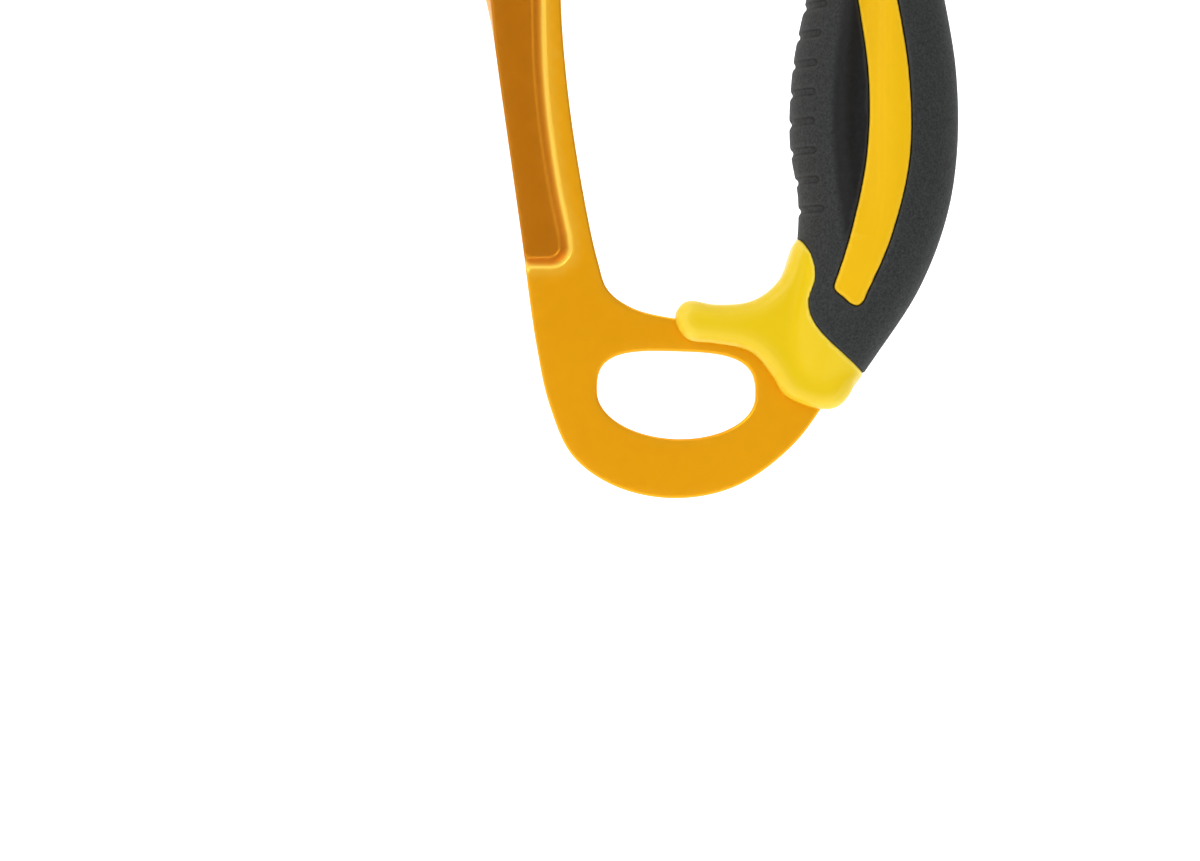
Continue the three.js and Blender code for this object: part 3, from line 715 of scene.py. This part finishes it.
def sheet_grid(outline):
    """Points in rows along the groove's slope, round the bends and beside the rim, and wider elsewhere."""
    along = np.gradient(GROOVE_LINE, axis=0)
    along /= np.linalg.norm(along, axis=1)[:, None]
    out = np.column_stack([-along[:, 1], along[:, 0]])
    slope = np.vstack([GROOVE_LINE + out * d for d in np.arange(-2.7, 0.6, 0.2)])
    flat = grid(outline, 1.6)
    near_slope = np.abs(distance(flat, GROOVE) - 1.1) < 2.3
    quarter = math.pi / 2 * BEND
    past = np.concatenate([
        np.linspace(0, quarter, 9),
        np.linspace(quarter, quarter + WALL, 6)[1:-1],
        np.linspace(quarter + WALL, 2 * quarter + WALL, 9),
        2 * quarter + WALL + np.arange(1.3, 12, 1.3),
    ])
    rows = np.arange(outline[:, 1].min(), outline[:, 1].max(), 1.3)
    bent = np.array([(BEND_X - s, z) for z in rows for s in past])
    bent = bent[distance(bent, outline) > 3.3]
    beside = np.vstack([grow(outline, -d) for d in (1.3, 2.5)])
    return np.vstack([
        slope[slope[:, 0] > BEND_X + 0.7],
        flat[~near_slope & (flat[:, 0] > BEND_X + 0.9)],
        bent,
        beside[beside[:, 0] < BEND_X],
    ])


def bevel_rim(obj, rim_edges):
    """Rounds the edges given as pairs of vertices."""
    work = bmesh.new()
    work.from_mesh(obj.data)
    sharp = [e for e in work.edges if frozenset(v.index for v in e.verts) in rim_edges]
    bmesh.ops.bevel(
        work, geom=sharp, offset=BEVEL * MM, offset_type="OFFSET", segments=4, profile=0.5,
        affect="EDGES", clamp_overlap=False,
    )
    work.to_mesh(obj.data)
    work.free()
    obj.data.shade_smooth()


def frame_sheet():
    outline = spline(SHEET_OUTLINE, RIM_STEP, True)
    holes = [
        spline(HAND_OUTLINE, 0.8, True),
        lower_hole(),
        circle(28.5, 27.5, 7, 0.6),
        circle(*CAM, 3.5, 0.5),
    ]
    points, faces = fill(outline, holes, sheet_grid(outline), 0.75)
    pressed = sunk(points)
    middle = sheet_place(points) + np.outer(pressed, (0, SUNK, 0))
    half = sheet_normal(points) * PLATE / 2
    obj = two_sided("frame_sheet", middle + half, middle - half, faces)
    n = len(points)
    back = np.zeros(n)
    # The groove's amount is also stored for the material, which paints the groove's floor darker: painted
    # shade.
    mark(obj, "sunk", np.concatenate([pressed, back]))
    mark(obj, "painted_crest_highlight", np.concatenate([groove_crest(points), back]))
    bevel_rim(obj, {frozenset((a + k, b + k)) for a, b in rim(faces) for k in (0, n)})
    return place(keep_normals(face_out(obj)), "frame_sheet", "frame", stands_out=0.6)


# ---- grip ----
GRIP_STATIONS = [
    ((43.4, -33.4), (49.9, -20.1), 7.4),
    ((50.2, -40.2), (61, -29.7), 9.7),
    ((55, -50.4), (69.7, -45), 11.4),
    ((54.6, -63), (75.4, -62), 12.4),
    ((52.7, -71), (77.3, -71), 12.5),
    ((50.3, -83.4), (79.4, -84), 12.5),
    ((49.8, -96.6), (79.6, -98), 12.5),
    ((51.3, -107), (77.7, -110), 12.3),
    ((50.8, -116.4), (72.8, -122.7), 11.6),
    ((48.1, -127.6), (64.6, -135.3), 10.1),
    ((47.6, -139.3), (59.2, -142.9), 6.9),
]
LOWER_BORDER = [
    (68, -142), (60.9, -136.1), (53.9, -129.2), (52.7, -125.3), (53.9, -120.8),
    (53.2, -116.8), (51.2, -113.9), (46, -110),
]
UPPER_BORDER = [
    (50, -61.6), (54.6, -60.4), (57.4, -57.4), (57.7, -52.4), (60, -47.6), (67.4, -41.4),
    (74, -36.4),
]
STRIPE_OUTLINE = [
    (58.7, -57.8), (61.2, -55.1), (64.4, -57.4), (67.9, -71.4), (70.2, -85.7), (70.3, -100),
    (66.9, -114.3), (62.9, -123.6), (62.1, -125.3), (61.3, -125.9), (60.3, -125.7),
    (58.7, -124.4), (57.4, -123.3), (57.1, -122.6), (57.3, -121.9), (59.7, -114.4), (62.8, -100),
    (63.2, -85.7), (61.2, -71.4),
]
# The hollow between the fingertips' side and the stripe, whose skin is painted darker: painted shade.
PAINTED_SHADE_OUTLINE = [
    (60.2, -64), (58.3, -74), (57, -84), (56.6, -93), (57.1, -102), (58.2, -110),
    (59.3, -116.5), (61.9, -107), (63.8, -98), (64, -88), (63.3, -78), (62, -70),
]
PAINTED_SHADE_EDGE = 1.6  # width of its soft border
LOWER_WEB = [
    (51.2, -113.9), (47.9, -121), (43, -124.8), (36.4, -125.5), (31.2, -124.9), (29.2, -127.5),
    (31.3, -131.6), (36.4, -132.4), (42.7, -133.9), (46.6, -138.3), (48.6, -141.5),
    (54.1, -143.9), (57.8, -143.9), (60.6, -140.9), (61.4, -136), (57, -120),
]
UPPER_WEB = [
    (55.6, -55.5), (54.4, -48.6), (48.6, -39), (40, -34.7), (31, -35.6), (27.4, -35.3),
    (26.7, -32), (30, -29.7), (41, -25.7), (48.4, -19.9), (51.2, -19.4), (58.3, -26.8),
    (66.4, -39.6), (66, -48), (60, -57),
]


# The handle's section, and the dip in it along the fingertips' side of the stripe.
SECTION_POWER = 2.5  # this and the next would be 2 and 0.5 for an ellipse
SECTION_ROOT = 0.42
DIP_ACROSS = 0.4  # the dip's middle, of the way across the handle
DIP_WIDTHS = (0.085, 0.1)  # towards the fingers and towards the palm
DIP_DEPTH = 0.15  # of half the thickness
DIP_START = 0.2  # of the way along the handle
DIP_LENGTH = 0.55


def handle_rings(inset, along, around):
    """Rings of the handle's surface, moved in by inset."""
    t = np.linspace(0, 1, along + 1)
    inner, outer = (through([(*s[k], s[2]) for s in GRIP_STATIONS], t) for k in (0, 1))
    half = inner[:, 2:] - inset
    inner, outer = inner[:, :2], outer[:, :2]
    width = np.linalg.norm(outer - inner, axis=1)[:, None]
    across = (outer - inner) / width
    hollow = np.sin(math.pi * np.clip((t - DIP_START) / DIP_LENGTH, 0, 1))[:, None] ** 0.7
    a = np.linspace(0, 2 * math.pi, around, endpoint=False)[None, :]
    c = np.cos(a)
    u = 0.5 - 0.5 * np.sign(c) * np.abs(c) ** 0.85
    body = np.clip(1 - np.abs(2 * u - 1) ** SECTION_POWER, 0, 1) ** SECTION_ROOT
    off = (u - DIP_ACROSS) / np.where(u < DIP_ACROSS, *DIP_WIDTHS)
    dip = DIP_DEPTH * np.exp(-(off ** 2))
    y = np.sign(np.sin(a)) * half * np.maximum(body - hollow * dip, 0)
    s = inset + u * (width - 2 * inset)
    x = inner[:, :1] + across[:, :1] * s
    z = inner[:, 1:] + across[:, 1:] * s
    return np.stack([x, GRIP_Y - y, z], axis=-1)


def handle(inset, along=60, around=64):
    return loft("handle", handle_rings(inset, along, around))


# The slots' round ends lie on a curve. This is its least X, the height of that, and how far it bows.
RIB_END_X = 53.8
RIB_END_Z = -92.0
RIB_END_BOW = 0.0058


def rib_edge(x, z):
    """How far inside the slots between the finger ribs a point is."""
    inside = np.full(x.shape, -99.0)
    for i in range(RIB_COUNT):
        level = RIB_FIRST + i * RIB_PITCH
        end = RIB_END_X + RIB_END_BOW * (level - RIB_END_Z) ** 2 - RIB_SLOT
        away = np.where(x < end, np.abs(z - level), np.hypot(x - end, z - level))
        inside = np.maximum(inside, RIB_SLOT - away)
    return inside


def rib_slots(rings):
    """Moves the surface in at the slots between the finger ribs."""
    normal = np.cross(np.gradient(rings, axis=1), np.gradient(rings, axis=0))
    normal /= np.maximum(np.linalg.norm(normal, axis=-1), 1e-9)[..., None]
    middle = rings.mean(axis=1, keepdims=True)
    normal *= np.sign(((rings - middle) * normal).sum(-1).mean())
    depth = RIB_DEPTH * step_up(rib_edge(rings[..., 0], rings[..., 2]) / RIB_SLOPE)
    return rings - normal * depth[..., None]


def skin_region(gap):
    """Solid over everything between the two guards."""
    outline = np.vstack([
        spline(LOWER_BORDER, 0.6),
        spline(UPPER_BORDER, 0.6),
        [(110, -36), (110, -142)],
    ])
    return prism(grow(outline, gap), *REACH)


def grip_skin():
    """The soft skin: a shell with ribs for the fingers and a window for each stripe."""
    skin = loft("skin", rib_slots(handle_rings(0, 420, 240)))
    window = prism(grow(spline(STRIPE_OUTLINE, 0.5, True), WINDOW_GAP), *REACH)
    combine(skin, [handle(SKIN)], "DIFFERENCE")
    combine(skin, [skin_region(-SEAM / 2)], "INTERSECT")
    combine(skin, [window], "DIFFERENCE")
    soften(skin, 0.28, 2)
    x, _, z = values(skin.data.vertices, "co", 3).T / MM
    inside = distance(np.column_stack([x, z]), spline(PAINTED_SHADE_OUTLINE, 1.5, True))
    # Painted shade in the hollow beside the stripe.
    mark(skin, "channel", step_up((inside + 0.6) / PAINTED_SHADE_EDGE))
    # Painted shadow on the sides of the slots between the finger ribs.
    mark(skin, "slot", 1 - np.abs(rib_edge(x, z) - 0.12) / 0.25)
    return place(skin, "grip_skin", "grip_rubber")


def inlay(name, node, y0, y1):
    """A hard stripe in the skin's window, a little below the skin's surface."""
    stripe = prism(spline(STRIPE_OUTLINE, 0.5, True), y0, y1)
    combine(stripe, [handle(STRIPE_INSET, 120, 120)], "INTERSECT")
    combine(stripe, [handle(SKIN)], "DIFFERENCE")
    return place(soften(stripe, 0.25, 3), name, node)


def pillow(outline, half, edge):
    """A flat body about the grip's middle plane whose edges are rounded."""
    line = spline(outline, 0.5, True)
    points, faces = fill(line, (), grid(line, 0.6), 0.35)
    d = np.clip(distance(points, line), 0, edge)
    height = half - edge + np.sqrt(edge**2 - (edge - d) ** 2)
    x, z = points.T
    front = np.column_stack([x, GRIP_Y - height, z])
    back = np.column_stack([x, GRIP_Y + height, z])
    return two_sided("web", front, back, faces)


def plate_slot():
    """The space round the plate that the guards leave."""
    flat = spline([p for p in SHEET_OUTLINE if p[0] >= BEND_X], 1.2, True)
    half = PLATE / 2
    outer = prism(grow(flat, GAP), PLATE_MIDDLE - half - GAP, PLATE_MIDDLE + half + GAP)
    inner = prism(grow(spline(HAND_OUTLINE, 1.2, True), -GAP), 0, 12)
    return combine(outer, [inner], "DIFFERENCE")


def guard(name, node, web, low, high):
    """A hard shell over the grip's end between two heights, with a web along the plate."""
    body = pillow(web, WEB, WEB_EDGE)
    end = handle(0, 140, 120)
    combine(end, [prism([(0, low), (110, low), (110, high), (0, high)], *REACH)], "INTERSECT")
    combine(body, [end], "UNION")
    soften(body, 0.4, 18)
    combine(body, [skin_region(SEAM / 2)], "DIFFERENCE")
    combine(body, [plate_slot()], "DIFFERENCE")
    return place(soften(body, 0.3, 3), name, node)


# ---- cam, axles, springs and catch ----
def coil(x, z, r, y0, y1, start, turns):
    """Points on a helix about an axis along Y. It starts at an angle in degrees."""
    n = round(turns * 56)
    a = np.radians(start + 360 * turns * np.linspace(0, 1, n + 1))
    return np.column_stack([x + r * np.cos(a), np.linspace(y0, y1, n + 1), z + r * np.sin(a)])


def spring(name, node, centre, r, wire, y, start, turns, leg, end):
    """A leg, the turns, and an end bent along the axis."""
    x, z = centre
    a = math.radians(start)
    away = [(x + d * math.cos(a), y[0], z + d * math.sin(a)) for d in leg]
    path = np.vstack([away, coil(x, z, r, *y, start, turns)[2:], end])
    return place(tube(name, spline(path, wire * 0.5), wire), name, node)


def cam_spring():
    r, start, turns = 5.3, 210, 2.75
    a = math.radians(start + 360 * turns + 14)
    x, z = CAM[0] + r * math.cos(a), CAM[1] + r * math.sin(a)
    end = [(x, y, z) for y in (3.3, 4.2, 6.8)]
    spring("cam_spring_coil", "cam_spring", CAM, r, 0.5, (-0.2, 2.6), start, turns, (8.6, 6.6), end)


def catch_spring():
    a = math.radians(150)
    x, z = CATCH[0] + 3 * math.cos(a), CATCH[1] + 3 * math.sin(a)
    end = [(x, y, z) for y in (-1.5, -2.2, -3.6)]
    spring("catch_spring_coil", "catch_spring", CATCH, 3, 0.32, (0.7, -0.85), 100, 2.12, (6.4, 4.6), end)


def ring_profile(r0, r1, y0, y1, edge):
    return [
        (r0, y0 + edge), (r0 + edge, y0), (r1 - edge, y0), (r1, y0 + edge),
        (r1, y1 - edge), (r1 - edge, y1), (r0 + edge, y1), (r0, y1 - edge),
    ]


def ring(name, node, centre, r0, r1, y0, y1, edge=0.08):
    profile = ring_profile(r0, r1, y0, y1, edge)
    return place(keep_normals(lathe(name, profile, *centre, ring=True)), name, node)


def dome(r, y, edge, side):
    """A rounded rim at radius r, from the side towards the flat at y."""
    a = np.radians(np.linspace(0, 90, 7))
    return [(r - edge + edge * math.cos(t), y + side * edge * (1 - math.sin(t))) for t in a]


def cam_axle():
    front = [(0.01, -7.1), (1.6, -7.1), (2.1, -7.5), (2.6, -7.7), *dome(6.2, -7.7, 0.7, 1)[::-1]]
    shaft = [(6.2, -6.4), (6.1, -6.3), (3.5, -6.3), (3.5, 3.7), (3.2, 3.7), (3.2, 9.4)]
    tail = [(4.6, 9.5), *dome(4.8, 10.8, 0.7, -1), (1.7, 10.7), (1.2, 10.3), (0.01, 10.3)]
    obj = lathe("cam_axle_pin", front + shaft + tail, *CAM)
    return place(keep_normals(obj), "cam_axle_pin", "cam_axle")


def catch_axle():
    front = [(0.01, -6.6), (0.8, -6.65), *dome(3.1, -6.8, 0.5, 1)[::-1]]
    shaft = [(3.1, -5.6), (3.0, -5.5), (1.5, -5.5), (1.5, 3.2), (1.3, 3.4), (0.01, 3.4)]
    obj = lathe("catch_axle_pin", front + shaft, *CATCH, segments=64)
    return place(keep_normals(obj), "catch_axle_pin", "catch_axle")


def refined(name, node, voxel, rounds):
    """A CAD piece with an even mesh and soft edges."""
    return place(soften(copy_of(node), voxel, rounds), name, node)


camera()
studio()
frame_sheet()
grip_skin()
inlay("stripe_front", "grip_stripe_front", REACH[0], GRIP_Y - 3)
inlay("stripe_back", "grip_stripe_back", GRIP_Y + 3, REACH[1])
guard("lower_guard_shell", "lower_guard", LOWER_WEB, -170, -100)
guard("upper_guard_shell", "upper_guard", UPPER_WEB, -80, 0)
refined("cam_toothed", "cam", 0.18, 4)
refined("catch_lever_plate", "catch_lever", 0.16, 4)
refined("catch_pad_moulding", "catch_pad", 0.16, 4)
cam_axle()
catch_axle()
cam_spring()
catch_spring()
ring("cam_bush_sleeve", "cam_bush", CAM, 3.55, 4.5, -5.5, -0.9)
ring("cam_washer_disc", "cam_washer", CAM, 3.8, 7.2, -6.1, -5.7)
ring("cam_axle_ring_disc", "cam_axle_ring", CAM, 3.5, 6.4, 8.2, 9.2, 0.15)
ring("catch_axle_ring_disc", "catch_axle_ring", CATCH, 1.7, 3.2, 2.5, 3.3)
frame["nodes"]["grip_core"].data.materials.clear()
frame["nodes"]["grip_core"].data.materials.append(LOOKS["core_nylon"])
